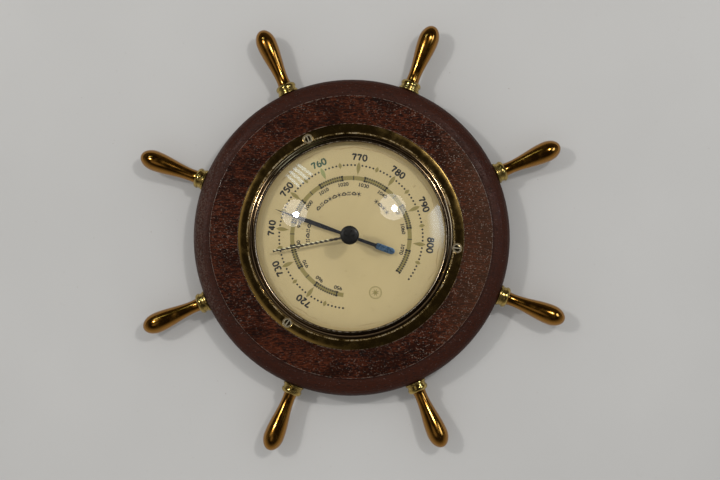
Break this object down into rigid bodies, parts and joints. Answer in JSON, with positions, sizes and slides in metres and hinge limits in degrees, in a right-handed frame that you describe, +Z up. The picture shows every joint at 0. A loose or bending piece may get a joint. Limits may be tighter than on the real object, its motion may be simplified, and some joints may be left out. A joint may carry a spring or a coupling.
{
  "type": "barometer",
  "caption": "Aneroid wall barometer in a round wooden ship's wheel with brass handles, under domed glass, with a pressure hand and a set hand turned by a knob.",
  "frame": {"origin": "centre of the hanging hole, on the plane of the wall that the barometer hangs on", "axes": "+Y points into the wall, so the dial faces -Y; +Z is up, towards the top handle and the middle of the scale; +X is to the right as the dial is read"},
  "size_m": [0.231, 0.0415, 0.231],
  "materials": {
    "wheel_wood": "dark stained and waxed hardwood, satin",
    "face_wood": "open-grained mahogany veneer, satin",
    "handle_brass": "polished and lacquered, orange-gold",
    "ferrule_brass": "polished, paler",
    "bezel_brass": "polished and darkened with age",
    "screw_brass": "turned, slotted",
    "dial_glass": "clear domed glass",
    "fitting_brass": "turned",
    "knob_black": "moulded, finely ribbed edge",
    "set_hand_brass": "rolled and polished",
    "hand_black": "blued and blackened steel",
    "dial_cream": "printed card colour, satin, a little stained",
    "case_brass": "drawn sheet, dull",
    "hanger_brass": "punched sheet",
    "movement_brass": "sawn and brushed",
    "movement_steel": "ground"
  },
  "bodies": {
    "case": {"wheel_ring": "wheel_wood", "face_veneer": "face_wood", "handle_1": "handle_brass", "handle_2": "handle_brass", "handle_3": "handle_brass", "handle_4": "handle_brass", "handle_5": "handle_brass", "handle_6": "handle_brass", "handle_7": "handle_brass", "handle_8": "handle_brass", "ferrule_1": "ferrule_brass", "ferrule_2": "ferrule_brass", "ferrule_3": "ferrule_brass", "ferrule_4": "ferrule_brass", "ferrule_5": "ferrule_brass", "ferrule_6": "ferrule_brass", "ferrule_7": "ferrule_brass", "ferrule_8": "ferrule_brass", "bezel": "bezel_brass", "bezel_screws": "screw_brass", "movement_screws": "screw_brass", "hanger_screws": "screw_brass", "glass_dome": "dial_glass", "glass_ring": "fitting_brass", "glass_bush": "fitting_brass", "bush_nut": "fitting_brass", "dial_plate": "dial_cream", "case_pot": "case_brass", "hanger_plate": "hanger_brass", "dial_pillars": "movement_brass", "base_plate": "movement_brass", "capsule_foot": "movement_brass", "spring_bridge": "movement_brass", "clamp_plate": "movement_brass", "rocker_frame": "movement_brass", "cage_pillars": "movement_brass", "lower_bearing_plate": "movement_brass", "upper_bearing_plate": "movement_brass", "hairspring_stud": "movement_brass", "capsule_back": "movement_steel", "capsule_front": "movement_steel", "main_spring": "movement_steel", "clamp_screws": "movement_steel", "frame_screws": "movement_steel", "cage_screws": "movement_steel", "chain": "movement_steel", "hairspring": "movement_steel"},
    "pressure_hand": {"pressure_hand": "hand_black", "hand_collet": "movement_brass", "pointer_arbor": "movement_steel"},
    "set_hand": {"set_hand": "set_hand_brass", "knob_spindle": "fitting_brass", "knob": "knob_black", "spring_washer": "movement_steel"},
    "lever": {"main_lever": "movement_brass", "capsule_post": "movement_steel"},
    "link": {"lever_link": "movement_steel"},
    "rocker": {"rocker_shaft": "movement_steel"},
    "adjuster": {"adjusting_screw": "screw_brass"}
  },
  "joints": [
    {"name": "pressure_turn", "type": "hinge", "parent": "case", "child": "pressure_hand", "pos_m": [0, -0.017, -0.066], "axis": [0, 1, 0], "range_deg": [-103.5, 196.5], "stiffness_Nm_per_rad": 0.001, "deforming": ["chain", "hairspring"]},
    {"name": "set_hand_turn", "type": "hinge", "parent": "case", "child": "set_hand", "pos_m": [0, -0.03, -0.066], "axis": [0, 1, 0], "continuous": true},
    {"name": "lever_rock", "type": "hinge", "parent": "case", "child": "lever", "pos_m": [-0.02, -0.0107, -0.066], "axis": [0, 0, 1], "range_deg": [-0.6, 1.1], "deforming": ["main_spring", "capsule_front", "capsule_back"]},
    {"name": "link_swing", "type": "hinge", "parent": "lever", "child": "link", "pos_m": [0.0244, -0.0099, -0.066], "axis": [0, 0, 1], "range_deg": [-1.1, 0.6]},
    {"name": "rocker_turn", "type": "hinge", "parent": "case", "child": "rocker", "pos_m": [0.0262, -0.0076, -0.066], "axis": [0, 0, 1], "range_deg": [-25.5, 13.6]},
    {"name": "adjuster_turn", "type": "hinge", "parent": "case", "child": "adjuster", "pos_m": [-0.0235, -0.005, -0.066], "axis": [0, 1, 0], "range_deg": [-360, 360]}
  ],
  "couplings": [
    {"joint": "lever_rock", "follows": "pressure_turn", "ratio": 0.005104},
    {"joint": "link_swing", "follows": "pressure_turn", "ratio": -0.005104},
    {"joint": "rocker_turn", "follows": "pressure_turn", "ratio": -0.12847}
  ]
}
